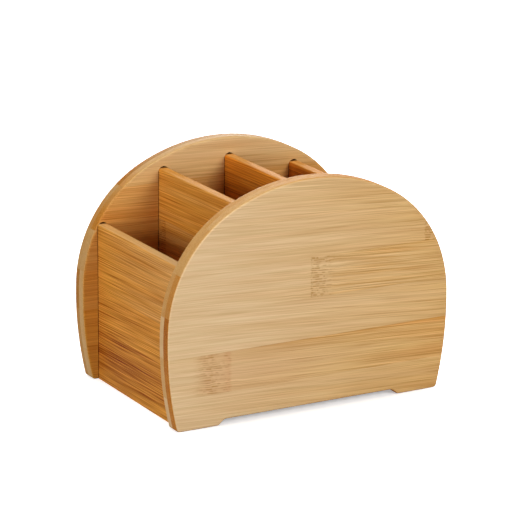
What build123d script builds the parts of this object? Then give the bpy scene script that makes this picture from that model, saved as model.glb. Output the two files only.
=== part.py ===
"""Open desk organiser: two arched panels joined by five upright walls and a base board.

Units are millimetres. +X runs along the panels, +Y from the front panel to the rear one and
+Z up. The origin is the middle of the footprint, on the surface that the organiser stands on.
"""

import os

from build123d import *

os.makedirs("parts", exist_ok=True)

# ---- Driving dimensions ---------------------------------------------------------------------

# Arched panels: a crown arc, two shoulder arcs and two side arcs, each tangent to the next
panel_width = 180.0  # across the widest part of the sides
panel_height = 134.0
panel_thickness = 10.0
body_depth = 114.0  # front face to rear face
crown_radius = 108.5
shoulder_radius = 75.0
side_radius = 208.0
widest_height = 50.0  # from the floor
lower_corner_radius = 2.5
panel_arris = 1.2  # rounding of every outer edge of a panel

# Relief under each panel, which leaves a foot at each end
relief_length = 116.0  # from foot to foot at the floor
relief_height = 3.2
relief_slope = 40.0  # degrees between the floor and a foot's inner end
foot_toe_radius = 2.0
relief_corner_radius = 4.0

# Upright walls, each let into a groove in both panels
wall_thickness = 6.0
wall_arris = 1.2  # rounding of a wall's two top edges
end_wall_inset = 10.0  # from the widest part of a panel to an end wall's outer face
left_bay_width = 33.0  # clear widths between the walls; the right bay takes the rest
left_middle_bay_width = 37.0
right_middle_bay_width = 37.0

# How far each wall's top lies below the panels' rim
end_wall_drop = 5.2
left_divider_drop = 6.6
middle_divider_drop = 10.2
right_divider_drop = 8.2

# Grooves for the walls
groove_depth = 4.0
groove_play = 0.4  # between a wall and each flank of its groove
groove_headroom = 1.1  # between a wall's top and the groove's round end

# Base board, let into a groove along each panel
base_thickness = 5.0
base_height = 7.0  # from the floor to its underside
base_play = 0.2  # above the board in its groove

# ---- Derived sizes --------------------------------------------------------------------------

end_wall_center = panel_width / 2 - end_wall_inset - wall_thickness / 2
left_divider_center = -end_wall_center + wall_thickness + left_bay_width
middle_divider_center = left_divider_center + wall_thickness + left_middle_bay_width
right_divider_center = middle_divider_center + wall_thickness + right_middle_bay_width

inner_half_depth = body_depth / 2 - panel_thickness
housed_length = 2 * (inner_half_depth + groove_depth)  # what reaches the floor of both grooves
groove_radius = wall_thickness / 2 + groove_play
base_top = base_height + base_thickness
base_length = 2 * end_wall_center - wall_thickness

front_inner_face = Plane.XZ.offset(inner_half_depth)  # its normal points forwards, along -Y
bottom_center = (Align.CENTER, Align.MIN)

# ---- Panel outline --------------------------------------------------------------------------

# A crown disc and two side discs overlap above the floor, and the relief is cut from below
with BuildSketch(front_inner_face) as outline:
    with Locations((0, panel_height - crown_radius)):
        Circle(crown_radius)
    for side in (-1, 1):
        with Locations((side * (panel_width / 2 - side_radius), widest_height)):
            Circle(side_radius, mode=Mode.INTERSECT)
    Rectangle(panel_width, panel_height, align=bottom_center, mode=Mode.INTERSECT)
    Trapezoid(relief_length, relief_height, relief_slope, align=bottom_center, mode=Mode.SUBTRACT)
    fillet(outline.vertices().group_by(Axis.Y)[-1], shoulder_radius)
    fillet(outline.vertices().group_by(Axis.Y)[1], relief_corner_radius)
    fillet(outline.vertices().group_by(Axis.Y)[0].sort_by(Axis.X)[1:-1], foot_toe_radius)
    outer_corners = outline.vertices().group_by(Axis.Y)[0].sort_by(Axis.X)
    fillet([outer_corners[0], outer_corners[-1]], lower_corner_radius)


def rim_height(x):
    """Return the height of the panels' rim above the point x of the floor."""
    plumb_line = Line((x, relief_height), (x, panel_height))
    return (plumb_line & outline.sketch_local).bounding_box().max.Y


end_wall_top = rim_height(end_wall_center) - end_wall_drop
left_divider_top = rim_height(left_divider_center) - left_divider_drop
middle_divider_top = rim_height(middle_divider_center) - middle_divider_drop
right_divider_top = rim_height(right_divider_center) - right_divider_drop

# Centre, foot and top of each wall: end walls reach the floor, dividers stand on the base board
walls = {
    "left_end_wall": (-end_wall_center, 0, end_wall_top),
    "left_divider": (left_divider_center, base_top, left_divider_top),
    "middle_divider": (middle_divider_center, base_top, middle_divider_top),
    "right_divider": (right_divider_center, base_top, right_divider_top),
    "right_end_wall": (end_wall_center, 0, end_wall_top),
}

# ---- Arched panels --------------------------------------------------------------------------

with BuildPart() as front_panel:
    extrude(outline.sketch, amount=panel_thickness)
    fillet(front_panel.faces().filter_by(Axis.Y).edges(), panel_arris)

    # Wall grooves with half-round top ends, and the base board's groove between the end walls
    with BuildSketch(front_inner_face):
        for center, foot, top in walls.values():
            end_center = top + groove_headroom - groove_radius
            with Locations((center, foot)):
                Rectangle(2 * groove_radius, end_center - foot, align=bottom_center)
            with Locations((center, end_center)):
                Circle(groove_radius)
        with Locations((0, base_height)):
            Rectangle(2 * end_wall_center, base_thickness + base_play, align=bottom_center)
    extrude(amount=groove_depth, mode=Mode.SUBTRACT)

with BuildPart() as rear_panel:
    mirror(front_panel.part, about=Plane.XZ)

front_panel.part.label = "front_panel"
export_step(front_panel.part, "parts/front_panel.step")

rear_panel.part.label = "rear_panel"
export_step(rear_panel.part, "parts/rear_panel.step")

# ---- End walls and dividers -----------------------------------------------------------------

for name, (center, foot, top) in walls.items():
    with BuildPart() as wall:
        with BuildSketch(Plane.XY.offset(foot)):
            with Locations((center, 0)):
                Rectangle(wall_thickness, housed_length)
        extrude(amount=top - foot)
        fillet(wall.faces().sort_by(Axis.Z)[-1].edges().filter_by(Axis.Y), wall_arris)

    wall.part.label = name
    export_step(wall.part, f"parts/{name}.step")

# ---- Base board -----------------------------------------------------------------------------

with BuildPart() as base_board:
    with BuildSketch(Plane.XY.offset(base_height)):
        Rectangle(base_length, housed_length)
    extrude(amount=base_thickness)

base_board.part.label = "base_board"
export_step(base_board.part, "parts/base_board.step")
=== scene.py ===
"""Pressed-bamboo finish and studio for a desk organiser.

The organiser is eight boards: two arched panels, five walls held in their grooves and a base board.
Every board is glued up from flat strips in thin plies, so one recipe dresses them all: each board says
which way its grain runs, and the recipe draws its strips, fibres, joint marks and end grain through the
solid wood.
Sizes are in metres in the boards' own frame, and colours are scene-linear.
"""

import math
import random
from dataclasses import dataclass, field

import bpy
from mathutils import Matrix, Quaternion, Vector


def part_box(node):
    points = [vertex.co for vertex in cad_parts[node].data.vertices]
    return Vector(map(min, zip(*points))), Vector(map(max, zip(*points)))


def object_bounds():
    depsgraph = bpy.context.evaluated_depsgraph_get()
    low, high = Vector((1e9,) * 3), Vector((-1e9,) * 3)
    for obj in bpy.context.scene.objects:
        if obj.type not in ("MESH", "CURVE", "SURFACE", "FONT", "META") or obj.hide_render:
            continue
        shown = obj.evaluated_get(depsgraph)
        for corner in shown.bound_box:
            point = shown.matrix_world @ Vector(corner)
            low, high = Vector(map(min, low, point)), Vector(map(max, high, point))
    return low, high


bl_info = {
    "name": "Bamboo Desk Organiser",
    "version": (1, 0, 0),
    "blender": (4, 5, 0),
    "location": "View3D > Sidebar > Organiser",
    "description": "Dresses a desk organiser in pressed bamboo and lights it in a pale studio",
    "category": "Material",
}

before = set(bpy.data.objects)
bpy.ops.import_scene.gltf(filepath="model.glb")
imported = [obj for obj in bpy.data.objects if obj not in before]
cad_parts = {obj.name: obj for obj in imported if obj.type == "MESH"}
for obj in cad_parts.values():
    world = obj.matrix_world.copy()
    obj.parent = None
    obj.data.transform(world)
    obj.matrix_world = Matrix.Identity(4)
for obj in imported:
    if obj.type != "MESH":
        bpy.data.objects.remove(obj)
cad_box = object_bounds()

MM = 0.001
X, Y, Z = range(3)

# Heights at which one of a board's strips ends; the others follow from the strip width
PANEL_EDGE = 19 * MM
END_WALL_EDGE = 31 * MM
LEFT_DIVIDER_EDGE = 68 * MM
MIDDLE_DIVIDER_EDGE = 77 * MM
RIGHT_DIVIDER_EDGE = 72 * MM

# Grooves, from the organiser's middle to the panels' inner faces and to the ends of the walls
GROOVE_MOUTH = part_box("rear_panel")[0][Y]
GROOVE_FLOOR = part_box("left_end_wall")[1][Y]

# Strips that are drawn by seed
STRIP_CONTRAST = 0.16  # between the palest and the deepest
DARKEST_EDGE = 0.5

# What each of these adds to or takes from the paleness, which is 0 for burnt and 1 for straw
BAND_TONE = 0.12  # the broad bands of fibres, either way
PAST_JOINT_TONE = 0.10  # the upper edge of a strip, past its joint
WAKE_TONE = 0.35  # the warmer fibres behind a plain joint
EDGE_TONE = 0.56  # the cut edges, for a Cut's rim of 1

# The rim of the walls' Cut, whose cut edges are paler than their faces
WALL_RIM = -1.77

# Steps through the noise, which keep neighbours unlike each other
STRETCH_STEP = 7.31  # from one strip's patterns to the next one's
ROW_STEP = 5.17  # from one row of fibres to the next one
LAYER_STEP = 3.71  # from one layer of fibres to the next one
LAYER_SLIP = 0.37  # by how much of a layer each row is set against the last one

# What each kind of fibre adds to the dark figure
STREAK_DEPTH = 2.2
FINE_DEPTH = 3.8
HAIR_DEPTH = 0.15
BAND_DEPTH = 0.1

# Camera, and each lamp's azimuth and elevation in degrees
SENSOR_WIDTH = 36.0  # in millimetres, as cameras measure it
LAMPS = {"key": (20.0, 27.0), "side": (-70.0, 9.0), "top": (180.0, 84.0), "back": (162.0, 12.0)}
LAMP_DISTANCE = 1.8
LAMP_SIZE = 0.9

# Floor, and the dim ground under the organiser
FLOOR_HALF_WIDTH = 3.0
FLOOR_WHITE = 0.90  # what the camera sees the floor give back
FLOOR_BOUNCE = 0.35  # what it gives back to the organiser
SHADE_HALF_LENGTH = 68 * MM
SHADE_HALF_DEPTH = cad_box[1][Y]
SHADE_FADE = 28 * MM

# Sockets of the Mix node, which keeps a set for each kind of value
FIRST_NUMBER, SECOND_NUMBER = 2, 3
MIX_AMOUNT, FIRST_COLOUR, SECOND_COLOUR = 0, 6, 7
MIXED_COLOUR = 2


# --------------------------------------------------------------------------------------------------
# What a user may change
# --------------------------------------------------------------------------------------------------


def length(name, description, default, least=0.0):
    """A size or a place in metres."""
    return bpy.props.FloatProperty(
        name=name,
        description=description,
        default=default,
        min=least,
        precision=4,
        unit="LENGTH",
        subtype="DISTANCE",
    )


def share(name, description, default):
    """A share from 0 to 1."""
    return bpy.props.FloatProperty(
        name=name, description=description, default=default, min=0.0, max=1.0, subtype="FACTOR"
    )


def colour(name, description, default):
    """A scene-linear colour."""
    return bpy.props.FloatVectorProperty(
        name=name, description=description, default=default, min=0.0, max=1.0, size=3, subtype="COLOR"
    )


def turn(name, description, default):
    """An angle, given here in degrees."""
    return bpy.props.FloatProperty(
        name=name,
        description=description,
        default=math.radians(default),
        unit="ROTATION",
        subtype="ANGLE",
    )


def number(name, description, default, unit="NONE"):
    """A number of any kind."""
    return bpy.props.FloatProperty(name=name, description=description, default=default, unit=unit)


class BambooStock(bpy.types.PropertyGroup):
    """The pressed bamboo that every board is cut from."""

    strip_width: length("Strip width", "Width of one flat strip across the board", 0.0233)
    joint_length: length("Joint mark length", "Length along the grain of a cane's joint mark", 0.0194)
    joint_spacing: length("Joint spacing", "Distance along the cane from one joint to the next", 0.26)
    straw: colour("Straw", "Palest fibres, from the inside of the cane", (0.70, 0.485, 0.265))
    honey: colour("Honey", "Common colour of a planed strip", (0.625, 0.37, 0.14))
    amber: colour("Amber", "Colour of a deeper strip", (0.60, 0.24, 0.034))
    caramel: colour("Caramel", "Colour of the deepest strips", (0.40, 0.12, 0.014))
    burnt: colour("Burnt", "Colour of end grain near the cane's skin", (0.15, 0.05, 0.012))
    fibre_shade: colour("Fibre shade", "What a dark fibre leaves of the colour", (0.815, 0.745, 0.64))
    blush: colour("Blush", "What the reddest joint mark leaves of the colour", (0.94, 0.84, 0.81))
    # Painted shade: the deep orange that bounce light gives the bays
    bay_shade: colour("Bay_shade", "What the reddest jointless strip leaves of the colour", (1.0, 0.69, 0.235))
    # Painted shade: the dark of the narrow gaps in the grooves, laid on as colour
    groove_shade: colour("Groove_shade", "What a dark, shadowed groove leaves of the colour", (0.30, 0.24, 0.14))
    sheen: share("Sheen", "Strength of the satin lacquer's gloss", 0.03)
    roughness: share("Roughness", "Roughness of the lacquered wood", 0.48)
    relief: length("Grain relief", "Depth of the sanded fibres", 0.00004)


class BoardTones(bpy.types.PropertyGroup):
    """How pale each group of boards is, from 0 for caramel to 1 for straw."""

    front_panel: share("Front panel", "Tone of the front panel", 0.87)
    rear_panel: share("Rear panel", "Tone of the rear panel", 0.72)
    end_walls: share("End walls", "Tone of the two low end walls", 0.45)
    dividers: share("Dividers", "Tone of the three tall dividers", 0.45)
    base_board: share("Base board", "Tone of the base board", 0.50)


class Studio(bpy.types.PropertyGroup):
    """Camera, lamps and floor."""

    azimuth: turn("Azimuth", "Camera's turn about the organiser", -29.57)
    elevation: turn("Elevation", "Camera's height above the horizon", 16.29)
    roll: turn("Roll", "Camera's turn about its own line of sight", 0.53)
    distance: length("Distance", "From the camera to its target", 1.6678)
    target_aside: length("Target aside", "Target's place along X", -0.00066, least=-1.0)
    target_height: length("Target height", "Target's height above the floor", 0.07272)
    lens: number("Lens", "Focal length in millimetres on a 36 mm sensor", 202.8, unit="CAMERA")
    sky: number("Sky", "Level of the white surroundings as light", 0.0)
    key: number("Key lamp", "Level that the lamp in front gives a surface facing it", 0.72)
    side: number("Side lamp", "Level that the lamp at the left gives a surface facing it", 0.70)
    top: number("Top lamp", "Level that the lamp overhead gives a surface facing it", 0.60)
    back: number("Back lamp", "Level that the lamp behind gives a surface facing it", 0.60)
    floor_lift: number("Floor lift", "Added white that the camera sees on the floor", 0.36)


# --------------------------------------------------------------------------------------------------
# Shader fields
# --------------------------------------------------------------------------------------------------


class Field:
    """A number that varies over a surface. Arithmetic with fields or plain numbers adds Math nodes."""

    def __init__(self, tree, socket):
        self.tree = tree
        self.socket = socket

    def __add__(self, other):
        return arithmetic(self.tree, "ADD", self, other)

    def __sub__(self, other):
        return arithmetic(self.tree, "SUBTRACT", self, other)

    def __rsub__(self, other):
        return arithmetic(self.tree, "SUBTRACT", other, self)

    def __mul__(self, other):
        return arithmetic(self.tree, "MULTIPLY", self, other)

    def __truediv__(self, other):
        return arithmetic(self.tree, "DIVIDE", self, other)

    def floor(self):
        """The whole number below."""
        return arithmetic(self.tree, "FLOOR", self)

    def size(self):
        """The number without its sign."""
        return arithmetic(self.tree, "ABSOLUTE", self)

    def at_most(self, other):
        """The smaller of the two."""
        return arithmetic(self.tree, "MINIMUM", self, other)

    def at_least(self, other):
        """The larger of the two."""
        return arithmetic(self.tree, "MAXIMUM", self, other)

    def between(self, low, high):
        """low where the number is 0, high where it is 1, and in proportion elsewhere."""
        return self * (high - low) + low

    def rise(self, start, end):
        """0 at start and 1 at end, with a smooth step between them; start may be the higher one."""
        made = self.tree.nodes.new("ShaderNodeMapRange")
        made.interpolation_type = "SMOOTHSTEP"
        for name, value in (("Value", self), ("From Min", start), ("From Max", end)):
            feed(self.tree, made.inputs[name], value)
        return Field(self.tree, made.outputs[0])


def feed(tree, socket, value):
    """Links a socket to a field or to another node's output, or sets it to a constant."""
    if isinstance(value, Field):
        tree.links.new(value.socket, socket)
    elif isinstance(value, bpy.types.NodeSocket):
        tree.links.new(value, socket)
    else:
        socket.default_value = value


def add_node(tree, kind, inputs=None, **settings):
    """Adds a node, sets its properties and feeds its named inputs."""
    made = tree.nodes.new(kind)
    for name, value in settings.items():
        setattr(made, name, value)
    for name, value in (inputs or {}).items():
        feed(tree, made.inputs[name], value)
    return made


def arithmetic(tree, operation, *values):
    """One Math node as a field."""
    made = add_node(tree, "ShaderNodeMath", operation=operation)
    for socket, value in zip(made.inputs, values):
        feed(tree, socket, value)
    return Field(tree, made.outputs[0])


def noise(tree, place, detail, roughness=0.55):
    """Smooth noise about 0, mostly within a quarter either way; place is three fields, a lump each."""
    spot = add_node(tree, "ShaderNodeCombineXYZ", dict(zip("XYZ", place)))
    made = add_node(
        tree,
        "ShaderNodeTexNoise",
        {"Vector": spot.outputs[0], "Scale": 1.0, "Detail": detail, "Roughness": roughness},
    )
    return Field(tree, made.outputs["Fac"]) - 0.5


def colour_ramp(tree, amount, stops, interpolation="LINEAR"):
    """A ramp's Color and Alpha outputs, which follow amount through (place, colour and alpha) stops."""
    made = add_node(tree, "ShaderNodeValToRGB", {"Fac": amount})
    ramp = made.color_ramp
    ramp.interpolation = interpolation
    ramp.elements.remove(ramp.elements[-1])
    for i, (place, shade) in enumerate(stops):
        element = ramp.elements[0] if i == 0 else ramp.elements.new(place)
        element.position = place
        element.color = shade
    return made.outputs


def tinted(tree, base, shade, amount):
    """A colour multiplied by a shade, by any amount: 0 leaves it, and below 0 it is brightened."""
    made = add_node(tree, "ShaderNodeMix", data_type="RGBA", blend_type="MULTIPLY", clamp_factor=False)
    for place, value in ((MIX_AMOUNT, amount), (FIRST_COLOUR, base), (SECOND_COLOUR, (*shade, 1.0))):
        feed(tree, made.inputs[place], value)
    return made.outputs[MIXED_COLOUR]


# --------------------------------------------------------------------------------------------------
# Pressed bamboo
# --------------------------------------------------------------------------------------------------


@dataclass
class Strip:
    """One flat strip of split cane."""

    shift: float  # how much paler it is than its board
    darkness: float  # how dark its cut edges are
    joint: float | None = None  # its joint's place along the grain, if any
    blush: float = 0.0  # how red its joint's mark is or, without a joint, how much painted orange bay shade its wood gets


@dataclass
class Cut:
    """How a board is cut from the pressed stock."""

    grain: int  # axis that its fibres follow
    across: int  # axis that its row of strips follows
    through: int  # axis that its plies follow
    plies: int
    edge: float  # where one strip ends along the axis across
    seed: int
    rim: float = 0.0  # how far the cut edges darken; below 0, they are paler
    slant: float = 0.03  # how far the fibres climb or fall across the strips for each metre along them
    top_light: float = 0.0  # how much paler the last third of the board grows, across its strips: painted light, as the top is lit more than the shaded parts below
    contrast: float = 1.0  # how strongly the fibres show
    edge_shade: float = 0.0  # how much darker the cut edges are painted: partly the end grain's own tone, partly painted shade where the lamps light them too brightly
    chosen: dict = field(default_factory=dict)  # strips by number; the others are drawn by seed


class Timber:
    """A board's wood as fields in its own directions: strips, fibres, joints and end grain."""

    def __init__(self, tree, node, cut, tone, stock):
        self.tree = tree
        self.cut = cut
        self.stock = stock
        self.low, self.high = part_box(node)
        where = add_node(tree, "ShaderNodeTexCoord").outputs
        place = add_node(tree, "ShaderNodeSeparateXYZ", {"Vector": where["Object"]}).outputs
        normal = add_node(tree, "ShaderNodeSeparateXYZ", {"Vector": where["Normal"]}).outputs
        self.along = Field(tree, place[cut.grain])
        self.side = Field(tree, place[cut.across])
        self.depth = Field(tree, place[cut.through])
        # A cut edge starts past the middle of the rounding and shows most where it crosses the fibres
        end_grain = Field(tree, normal[cut.grain]).size().rise(0.2, 0.7)
        cut_edge = Field(tree, normal[cut.through]).size().rise(0.86, 0.50)
        self.rim = cut_edge * end_grain.between(0.85, 1.0)
        self.from_middle = Field(tree, place[Y]).size()
        self.faces_y = Field(tree, normal[Y]).size().rise(0.80, 0.95)
        self.lay_strips(tone)
        self.bend_fibres()

    def lay_strips(self, tone):
        """Numbers the strips up the board, ply after ply, and looks up what each one was drawn as.

        The four drawn values ride in the channels of one stepped ramp. A joint's place is kept as a
        share of twice the board's length, counted from half a length before it, and 1 means no joint."""
        cut, low, high, width = self.cut, self.low, self.high, self.stock.strip_width
        first_edge = cut.edge - math.ceil((cut.edge - low[cut.across]) / width) * width
        per_ply = math.ceil((high[cut.across] - first_edge) / width)
        ply_depth = (high[cut.through] - low[cut.through]) / cut.plies
        up = (self.side - first_edge) / width
        into = (self.depth - low[cut.through]) / ply_depth
        ply = into.floor().at_least(0).at_most(cut.plies - 1)
        self.number = up.floor() + ply * per_ply
        self.across_strip = up - up.floor()
        length = high[cut.grain] - low[cut.grain]
        start = low[cut.grain] - length / 2
        count = per_ply * cut.plies
        stops = []
        for i, strip in enumerate(draw_strips(count, low[cut.grain], cut, self.stock)):
            share_along = 1.0 if strip.joint is None else (strip.joint - start) / (2 * length)
            stops.append((i / count, (tone + strip.shift, strip.darkness, share_along, strip.blush)))
        drawn = colour_ramp(self.tree, (self.number + 0.5) / count, stops, "CONSTANT")
        channels = add_node(self.tree, "ShaderNodeSeparateColor", {"Color": drawn["Color"]}).outputs
        self.tone = Field(self.tree, channels[0])
        self.blush = Field(self.tree, drawn["Alpha"])
        self.darkness = Field(self.tree, channels[1])
        self.from_joint = self.along - (Field(self.tree, channels[2]) * (2 * length) + start)
        self.jointless = Field(self.tree, channels[2]).rise(0.96, 0.99)
        self.stretch = self.number * STRETCH_STEP

    def bend_fibres(self):
        """Lets the fibres run a little askew and sway, most of all where they bend round a joint."""
        near_joint = self.from_joint.size().rise(30 * MM, 8 * MM)
        wide = (self.along / (140 * MM), self.side / (60 * MM), self.stretch)
        narrow = (self.along / (10 * MM), self.side / (6 * MM), self.stretch)
        slow = noise(self.tree, wide, detail=0.0)
        quick = noise(self.tree, narrow, detail=1.0)
        sway = slow * (4 * MM) + quick * near_joint * (1.6 * MM)
        self.swayed = self.side + self.along * self.cut.slant + sway

    def fibres(self, run, thickness, shift, detail):
        """Noise whose lumps are as long as run along the grain and as thick as thickness across it."""
        lengthwise = self.along / run + (self.stretch + shift)
        return noise(self.tree, (lengthwise, self.swayed / thickness, self.depth / thickness), detail)

    def bundles(self, run, thickness, shift, detail):
        """Bundles of fibres, each as thick as thickness, whose shade varies along them over run."""
        row = (self.swayed / thickness).floor()
        layer = (self.depth / thickness + row * LAYER_SLIP).floor()
        spot = (self.along / run + (self.stretch + shift), row * ROW_STEP, layer * LAYER_STEP)
        return noise(self.tree, spot, detail, roughness=0.65)

    def dashes(self, run, pitch, shift):
        """Broken dark lines along the fibres, pitch apart, in pieces about as long as run."""
        place = self.swayed / pitch
        row = place.floor()
        core = (place - row - 0.5).size().rise(0.42, 0.12)
        layer = (self.depth / pitch).floor()
        spot = (self.along / run + (self.stretch + shift), row * ROW_STEP, layer * LAYER_STEP)
        # They crowd together before the joint and thin out behind it
        crowded = self.from_joint.rise(9 * MM, -9 * MM).between(-0.07, 0.09)
        return core * (noise(self.tree, spot, detail=1.0) + crowded).rise(-0.12, 0.12)

    def joint_mark(self):
        """How far a point is inside its strip's joint mark, whose two ends are ragged.

        A plain mark starts sharply and fades out. A red one is longer, fades in and ends sharply."""
        spot = (self.along / (40 * MM), self.side / (1.1 * MM), self.stretch)
        ragged = noise(self.tree, spot, detail=2.0, roughness=0.7) * (9 * MM)
        half = self.blush.between(0.65, 1.0) * (self.stock.joint_length / 2)
        fade_in = self.blush.between(0.6 * MM, 5.6 * MM)
        fade_out = self.blush.between(4.2 * MM, 1.0 * MM)
        start = self.from_joint + half + ragged * self.blush.between(0.3, 1.0)
        end = self.from_joint - half + ragged * self.blush.between(0.9, 0.5)
        return start.rise(fade_in * -1.0, fade_in) * end.rise(fade_out, fade_out * -1.0)

    def past_joint(self):
        """0 up to the joint, then a slow rise to 1, as the next length of cane is a shade darker."""
        return self.from_joint.rise(-5 * MM, 60 * MM)

    def joint_wake(self):
        """The stretch behind a joint whose fibres are coarser and deeper in colour."""
        return self.from_joint.rise(2 * MM, 9 * MM) * self.from_joint.rise(85 * MM, 30 * MM)

    def joint_ring(self):
        """The thin dark line where the cane's wall was closed, near the start of a narrow mark."""
        spot = (self.side / (3 * MM), self.stretch, self.depth / (3 * MM))
        wander = noise(self.tree, spot, detail=2.0) * (5 * MM)
        before = self.blush.between(0.35, 0.12) * self.stock.joint_length
        return (self.from_joint + wander + before).size().rise(1.2 * MM, 0.2 * MM)

    def groove_shade_mask(self):
        """1 in the panels' grooves, where shade is painted: on their floors and on the ends of the
        boards that they hold.
        """
        inside = self.from_middle.rise(GROOVE_MOUTH, GROOVE_MOUTH + 0.3 * MM)
        inside = inside * self.from_middle.rise(GROOVE_FLOOR + 0.8 * MM, GROOVE_FLOOR + 0.4 * MM)
        return inside * self.faces_y if self.cut.through == Y else inside

    def glue_line(self):
        """The fine line where one strip meets the next."""
        half = self.stock.strip_width / 2
        from_centre = (self.across_strip - 0.5).size() * self.stock.strip_width
        return from_centre.rise(half - 0.35 * MM, half - 0.05 * MM)


def draw_strips(count, start, cut, stock):
    """Draws each strip of a board, in order, and puts the chosen ones in their places."""
    dice = random.Random(cut.seed)
    strips = []
    for number in range(count):
        shift = (dice.random() - 0.5) * STRIP_CONTRAST
        darkness = dice.random() * DARKEST_EDGE
        joint = start + dice.random() * stock.joint_spacing
        strips.append(cut.chosen.get(number, Strip(shift, darkness, joint, dice.random())))
    return strips


def paleness(wood, drift, bands, warmth, wake):
    """How pale the wood is, from 0 for burnt to 1 for straw; drift is what it loses along the board."""
    cut, top = wood.cut, wood.high[wood.cut.across]
    length = wood.high[cut.grain] - wood.low[cut.grain]
    middle = (wood.high[cut.grain] + wood.low[cut.grain]) / 2
    pale = (wood.along - middle) * (-drift / length) + wood.tone + bands * BAND_TONE
    # Painted light: paler towards the top of the board, above the shade of the bays
    pale = pale + wood.side.rise(top * 0.7, top) * cut.top_light
    pale = pale - wood.past_joint() * wood.across_strip.rise(0.82, 1.0) * PAST_JOINT_TONE
    pale = pale - wake * (1.0 - wood.blush) * (warmth + 0.12).at_least(0.0) * WAKE_TONE
    return pale - wood.rim * wood.darkness * (cut.rim * EDGE_TONE)


def coloured(wood, pale, warmth, mark, wake):
    """The wood's colour before its fibres: the stock's colours by paleness, reddened, and deepened to
    orange on chosen jointless strips as painted bay shade.
    """
    stock = wood.stock
    stops = (
        (0.0, stock.burnt),
        (0.2, stock.caramel),
        (0.45, stock.amber),
        (0.72, stock.honey),
        (1.0, stock.straw),
    )
    plain = colour_ramp(wood.tree, pale, [(place, (*shade, 1.0)) for place, shade in stops])["Color"]
    # A red joint's mark, the wood behind it and the warmer fibres
    redness = (mark * 0.6 + wake * 0.45) * wood.blush + warmth * 1.3
    blushed = tinted(wood.tree, plain, stock.blush, redness)
    # Painted shade: chosen jointless strips turn deep orange, as bounce light does in the bays, away
    # from their cut edges
    return tinted(wood.tree, blushed, stock.bay_shade, wood.jointless * (1.0 - wood.rim) * wood.blush)


def figured(wood, figure, pale, mark, wake, dashes):
    """How dark the fibres, the glue lines, the joint marks and the cut edges make each point."""
    cut = wood.cut
    # Fibres are stronger behind a plain joint and in the strips with painted bay shade, and weaker on
    # the cut edges
    coarser = wake * (1.0 - wood.blush) * 0.35 + wood.jointless * wood.blush * 0.2 + 1.0
    lines = wood.glue_line() * (wake * wood.across_strip * 0.6 + 0.25)
    figure = (figure * coarser + lines) * (1.0 - wood.rim * 0.6) * cut.contrast
    # A joint mark is a thin ring and dashes, which are darkest before the joint
    speckle = dashes * (wood.blush.between(1.25, 0.80) + wood.from_joint.rise(8 * MM, -6 * MM) * 0.3)
    marked = mark * (wood.joint_ring() * wood.blush.between(0.60, 0.25) + speckle)
    edge = wood.rim * wood.darkness * (max(cut.rim, 0.0) * 1.15)
    # Deep wood shows its fibres more than pale wood
    return figure * (1.3 - pale * 0.65) / pale.at_least(0.25) + marked + edge


def bamboo(node, cut, tone, drift, stock):
    """One board's bamboo: tone is its paleness at its middle, and drift what it loses along it."""
    material = bpy.data.materials.new(f"bamboo_{node}")
    material.use_nodes = True
    tree = material.node_tree
    tree.nodes.clear()
    wood = Timber(tree, node, cut, tone, stock)

    # Fibres of each kind, where shift sets each kind's pattern apart from the others
    bands = wood.fibres(run=120 * MM, thickness=5.0 * MM, shift=0.0, detail=0.0)
    streaks = wood.bundles(run=80 * MM, thickness=0.50 * MM, shift=3.7, detail=2.0)
    fine = wood.bundles(run=45 * MM, thickness=0.36 * MM, shift=9.1, detail=1.0)
    hairs = wood.fibres(run=90 * MM, thickness=1.5 * MM, shift=17.3, detail=1.0).size().rise(0.05, 0.0)
    warmth = wood.fibres(run=60 * MM, thickness=3.0 * MM, shift=43.1, detail=1.0)
    dashes = wood.dashes(run=wood.blush.between(2.6 * MM, 3.2 * MM), pitch=1.25 * MM, shift=53.7)

    mark = wood.joint_mark()
    wake = wood.joint_wake()
    pale = paleness(wood, drift, bands, warmth, wake)
    figure = hairs * HAIR_DEPTH - streaks * STREAK_DEPTH - fine * FINE_DEPTH - bands * BAND_DEPTH
    dark = figured(wood, figure, pale, mark, wake, dashes)
    shaded = tinted(tree, coloured(wood, pale, warmth, mark, wake), stock.fibre_shade, dark)
    # Cut edges darkened, partly for the end grain's own tone and partly as painted shade where the lamps
    # light them too brightly
    shaded = tinted(tree, shaded, (0.0, 0.0, 0.0), wood.rim * wood.darkness * cut.edge_shade)
    # Painted shade in the grooves, where the gaps around the walls fall dark
    shaded = tinted(tree, shaded, stock.groove_shade, wood.groove_shade_mask())

    # Dark fibres and the marks' dashes lie a little lower than the pale wood
    raised = streaks + fine - mark * dashes * 0.3
    bump = add_node(tree, "ShaderNodeBump", {"Distance": stock.relief, "Height": raised})
    surface = add_node(
        tree,
        "ShaderNodeBsdfPrincipled",
        {
            "Base Color": shaded,
            "Roughness": streaks * -0.25 + stock.roughness,
            "Specular IOR Level": stock.sheen,
            "Normal": bump.outputs[0],
        },
    )
    add_node(tree, "ShaderNodeOutputMaterial", {"Surface": surface.outputs[0]})
    return material


def wall_cut(edge, seed, chosen, contrast=1.0):
    """The cut of an upright wall: one ply, whose grain runs from panel to panel."""
    return Cut(
        grain=Y,
        across=Z,
        through=X,
        plies=1,
        edge=edge,
        seed=seed,
        rim=WALL_RIM,
        contrast=contrast,
        chosen=chosen,
    )


def dress(context, node, cut, tone, drift=0.0):
    """Gives one board its bamboo."""
    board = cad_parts[node]
    board.data.materials.clear()
    board.data.materials.append(bamboo(node, cut, tone, drift, context.scene.bamboo_stock))


# --------------------------------------------------------------------------------------------------
# Operators
# --------------------------------------------------------------------------------------------------


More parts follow.
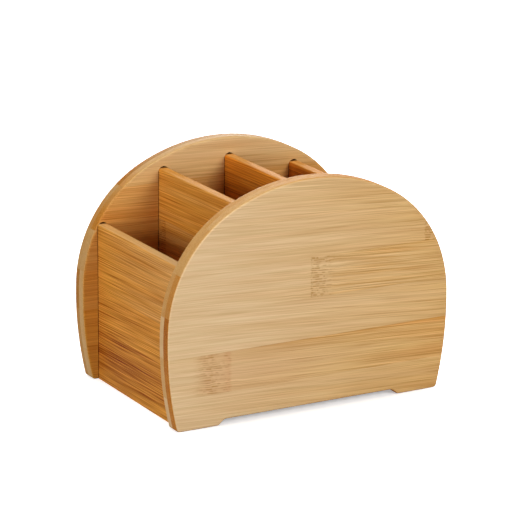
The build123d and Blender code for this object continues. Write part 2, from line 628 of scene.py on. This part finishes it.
class ORGANISER_OT_front_panel(bpy.types.Operator):
    """Dress the front panel: two plies of flat strips that run from side to side"""

    bl_idname = "organiser.front_panel"
    bl_label = "Front panel"

    def execute(self, context):
        # 0 to 5 are the outer ply's strips, from the floor up, and 6 to 11 the inner ply's
        chosen = {
            0: Strip(-0.03, 0.74),
            1: Strip(-0.05, 0.78, -60.4 * MM, 1.0),
            2: Strip(0.03, 0.94),
            3: Strip(0.02, 0.68, 6.0 * MM),
            4: Strip(0.02, 0.44, 80.0 * MM),
            5: Strip(0.00, 0.33),
            6: Strip(0.00, 0.15),
            7: Strip(0.00, 0.35),
            8: Strip(0.00, 0.20),
            9: Strip(0.00, 0.48),
            10: Strip(0.00, 0.40),
            11: Strip(0.00, 0.44),
        }
        cut = Cut(
            grain=X,
            across=Z,
            through=Y,
            plies=2,
            edge=PANEL_EDGE,
            seed=11,
            rim=1.35,
            slant=0.05,
            chosen=chosen,
        )
        tone = context.scene.board_tones.front_panel
        # drift makes it paler towards its left end: a painted highlight for light falling from the left
        dress(context, "front_panel", cut, tone, drift=0.33)
        return {"FINISHED"}


class ORGANISER_OT_rear_panel(bpy.types.Operator):
    """Dress the rear panel, the front panel's twin"""

    bl_idname = "organiser.rear_panel"
    bl_label = "Rear panel"

    def execute(self, context):
        # 0 to 5 are the inner ply's strips, from the floor up, and 6 to 11 the outer ply's
        chosen = {
            # Painted light and painted bay shade: strips 0 to 3 are paler, and 0 to 4 deep orange, low
            # on the inner face
            0: Strip(0.10, 0.21, None, 1.0),
            1: Strip(0.10, 0.21, None, 1.0),
            2: Strip(0.10, 0.22, None, 0.9),
            3: Strip(0.08, 0.30, None, 0.8),
            4: Strip(-0.11, 0.40, None, 0.5),
            5: Strip(-0.22, 0.26),
            6: Strip(0.05, 0.45),
            7: Strip(0.05, 0.50),
            8: Strip(0.04, 0.70),
            9: Strip(0.10, 0.38),
            10: Strip(0.04, 0.44),
            11: Strip(-0.21, 0.66),
        }
        cut = Cut(
            grain=X,
            across=Z,
            through=Y,
            plies=2,
            edge=PANEL_EDGE,
            seed=23,
            rim=0.72,
            top_light=0.36,
            contrast=0.85,
            edge_shade=0.38,
            chosen=chosen,
        )
        dress(context, "rear_panel", cut, context.scene.board_tones.rear_panel)
        return {"FINISHED"}


class ORGANISER_OT_end_walls(bpy.types.Operator):
    """Dress the two low end walls, whose grain runs from panel to panel"""

    bl_idname = "organiser.end_walls"
    bl_label = "End walls"

    def execute(self, context):
        chosen = {
            0: Strip(-0.05, 0.0),
            1: Strip(-0.13, 0.0),
            2: Strip(-0.03, 0.0),
            3: Strip(0.03, 0.0),
            4: Strip(0.04, 0.20),
        }
        walls = {"left_end_wall": chosen, "right_end_wall": {}}
        for seed, (node, picked) in enumerate(walls.items(), start=31):
            cut = wall_cut(END_WALL_EDGE, seed, picked)
            # drift makes them deeper in colour towards the rear panel: painted shade and bounce light in
            # that corner
            dress(context, node, cut, context.scene.board_tones.end_walls, drift=0.14)
        return {"FINISHED"}


class ORGANISER_OT_dividers(bpy.types.Operator):
    """Dress the three tall dividers"""

    bl_idname = "organiser.dividers"
    bl_label = "Dividers"

    def execute(self, context):
        # Only the upper strips of each divider are chosen, as they show above the end walls
        plain = Strip(0.00, 0.08)
        # Painted light and painted bay shade: the middle and right dividers' upper strips are paler and
        # deep orange
        bay_shaded = Strip(0.07, 0.02, None, 0.9)
        dividers = {
            "left_divider": (LEFT_DIVIDER_EDGE, {3: Strip(0.05, 0.08, 45 * MM), 4: plain, 5: plain}),
            "middle_divider": (MIDDLE_DIVIDER_EDGE, {3: bay_shaded, 4: bay_shaded, 5: bay_shaded}),
            "right_divider": (RIGHT_DIVIDER_EDGE, {3: bay_shaded, 4: bay_shaded, 5: bay_shaded}),
        }
        for seed, (node, (edge, picked)) in enumerate(dividers.items(), start=41):
            cut = wall_cut(edge, seed, picked, contrast=0.82)
            dress(context, node, cut, context.scene.board_tones.dividers)
        return {"FINISHED"}


class ORGANISER_OT_base_board(bpy.types.Operator):
    """Dress the base board, whose grain runs along the organiser"""

    bl_idname = "organiser.base_board"
    bl_label = "Base board"

    def execute(self, context):
        cut = Cut(grain=X, across=Y, through=Z, plies=1, edge=0.0, seed=51)
        dress(context, "base_board", cut, context.scene.board_tones.base_board)
        return {"FINISHED"}


def around(target, azimuth, elevation, distance):
    """The point at a turn, a height angle and a distance from target; azimuth 0 lies towards -Y."""
    flat = math.cos(elevation) * distance
    rise = math.sin(elevation) * distance
    return target + Vector((math.sin(azimuth) * flat, -math.cos(azimuth) * flat, rise))


def softbox(name, target, azimuth, elevation, level):
    """A square lamp that gives a white matt surface, facing it at target, the level asked for."""
    lamp = bpy.data.lights.new(name, "AREA")
    lamp.shape = "SQUARE"
    lamp.size = LAMP_SIZE
    lamp.energy = level * math.pi**2 * LAMP_DISTANCE**2  # in watts, spread as a matt surface does
    made = bpy.data.objects.new(name, lamp)
    bpy.context.scene.collection.objects.link(made)
    made.location = around(target, math.radians(azimuth), math.radians(elevation), LAMP_DISTANCE)
    made.rotation_mode = "QUATERNION"
    made.rotation_quaternion = (target - made.location).to_track_quat("-Z", "Y")
    return made


def seen_white(tree):
    """1 for rays from the camera or a reflection, which see plain white, and 0 for the room's light."""
    rays = add_node(tree, "ShaderNodeLightPath").outputs
    mirrored = Field(tree, rays["Is Glossy Ray"]).at_least(Field(tree, rays["Is Transmission Ray"]))
    return Field(tree, rays["Is Camera Ray"]).at_least(mirrored)


def white_surroundings(level):
    """A white world: full white where it is seen, and the given level as light."""
    world = bpy.data.worlds.new("white_surroundings")
    bpy.context.scene.world = world
    world.use_nodes = True
    tree = world.node_tree
    tree.nodes.clear()
    strength = add_node(tree, "ShaderNodeMix", {"Factor": seen_white(tree)}, data_type="FLOAT")
    strength.inputs[FIRST_NUMBER].default_value = level
    strength.inputs[SECOND_NUMBER].default_value = 1.0
    background = add_node(
        tree, "ShaderNodeBackground", {"Color": (1.0, 1.0, 1.0, 1.0), "Strength": strength.outputs[0]}
    )
    add_node(tree, "ShaderNodeOutputWorld", {"Surface": background.outputs[0]})


def pale_floor(lift):
    """A wide matt floor that looks white and keeps the organiser's shadow.

    The camera sees white added to it: lift under the organiser, and full white a little way outside."""
    half = FLOOR_HALF_WIDTH
    corners = [(-half, -half, 0), (half, -half, 0), (half, half, 0), (-half, half, 0)]
    mesh = bpy.data.meshes.new("floor")
    mesh.from_pydata(corners, [], [(0, 1, 2, 3)])
    floor = bpy.data.objects.new("floor", mesh)
    bpy.context.scene.collection.objects.link(floor)
    material = bpy.data.materials.new("floor_paper")
    material.use_nodes = True
    tree = material.node_tree
    tree.nodes.clear()
    seen = seen_white(tree)
    where = add_node(tree, "ShaderNodeTexCoord").outputs
    place = add_node(tree, "ShaderNodeSeparateXYZ", {"Vector": where["Object"]}).outputs
    beside = Field(tree, place[X]).size() - SHADE_HALF_LENGTH
    before = Field(tree, place[Y]).size() - SHADE_HALF_DEPTH
    clear = beside.at_least(before).rise(0.0, SHADE_FADE)
    matt = add_node(tree, "ShaderNodeBsdfDiffuse", {"Color": seen.between(FLOOR_BOUNCE, FLOOR_WHITE)})
    glow = add_node(tree, "ShaderNodeEmission", {"Strength": seen * clear.between(lift, 1.0)})
    both = add_node(tree, "ShaderNodeAddShader")
    feed(tree, both.inputs[0], matt.outputs[0])
    feed(tree, both.inputs[1], glow.outputs[0])
    add_node(tree, "ShaderNodeOutputMaterial", {"Surface": both.outputs[0]})
    mesh.materials.append(material)


class ORGANISER_OT_studio(bpy.types.Operator):
    """Set the camera, the lamps, the white surroundings and the floor"""

    bl_idname = "organiser.studio"
    bl_label = "Studio"

    def execute(self, context):
        scene = context.scene
        studio = scene.studio
        target = Vector((studio.target_aside, 0.0, studio.target_height))
        lens = bpy.data.cameras.new("camera")
        lens.lens = studio.lens
        lens.sensor_width = SENSOR_WIDTH
        camera = bpy.data.objects.new("camera", lens)
        scene.collection.objects.link(camera)
        camera.location = around(target, studio.azimuth, studio.elevation, studio.distance)
        camera.rotation_mode = "QUATERNION"
        level = (target - camera.location).to_track_quat("-Z", "Y")
        camera.rotation_quaternion = level @ Quaternion((0.0, 0.0, 1.0), studio.roll)
        lens.clip_start = 0.01
        lens.clip_end = 50.0
        scene.camera = camera
        for name, (azimuth, elevation) in LAMPS.items():
            softbox(name, target, azimuth, elevation, getattr(studio, name))
        white_surroundings(studio.sky)
        pale_floor(studio.floor_lift)
        scene.view_settings.view_transform = "Standard"
        return {"FINISHED"}


class VIEW3D_PT_organiser(bpy.types.Panel):
    """Sidebar panel that lists the organiser's sizes, colours and steps"""

    bl_label = "Desk organiser"
    bl_space_type = "VIEW_3D"
    bl_region_type = "UI"
    bl_category = "Organiser"

    def draw(self, context):
        layout = self.layout
        for group in (context.scene.bamboo_stock, context.scene.board_tones, context.scene.studio):
            box = layout.box()
            for name in group.bl_rna.properties.keys():
                if name not in {"rna_type", "name"}:
                    box.prop(group, name)
        for step in STEPS:
            layout.operator(step.bl_idname)


GROUPS = {"bamboo_stock": BambooStock, "board_tones": BoardTones, "studio": Studio}
STEPS = (
    ORGANISER_OT_studio,
    ORGANISER_OT_front_panel,
    ORGANISER_OT_rear_panel,
    ORGANISER_OT_end_walls,
    ORGANISER_OT_dividers,
    ORGANISER_OT_base_board,
)


def register():
    """Makes the property groups, the operators and the panel known to Blender."""
    for name, group in GROUPS.items():
        bpy.utils.register_class(group)
        setattr(bpy.types.Scene, name, bpy.props.PointerProperty(type=group))
    for made in (*STEPS, VIEW3D_PT_organiser):
        bpy.utils.register_class(made)


def unregister():
    """Takes back what register did."""
    for made in (VIEW3D_PT_organiser, *reversed(STEPS)):
        bpy.utils.unregister_class(made)
    for name, group in reversed(GROUPS.items()):
        delattr(bpy.types.Scene, name)
        bpy.utils.unregister_class(group)


def main():
    """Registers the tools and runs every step."""
    register()
    bpy.ops.organiser.studio()
    bpy.ops.organiser.front_panel()
    bpy.ops.organiser.rear_panel()
    bpy.ops.organiser.end_walls()
    bpy.ops.organiser.dividers()
    bpy.ops.organiser.base_board()


if __name__ == "__main__":
    main()
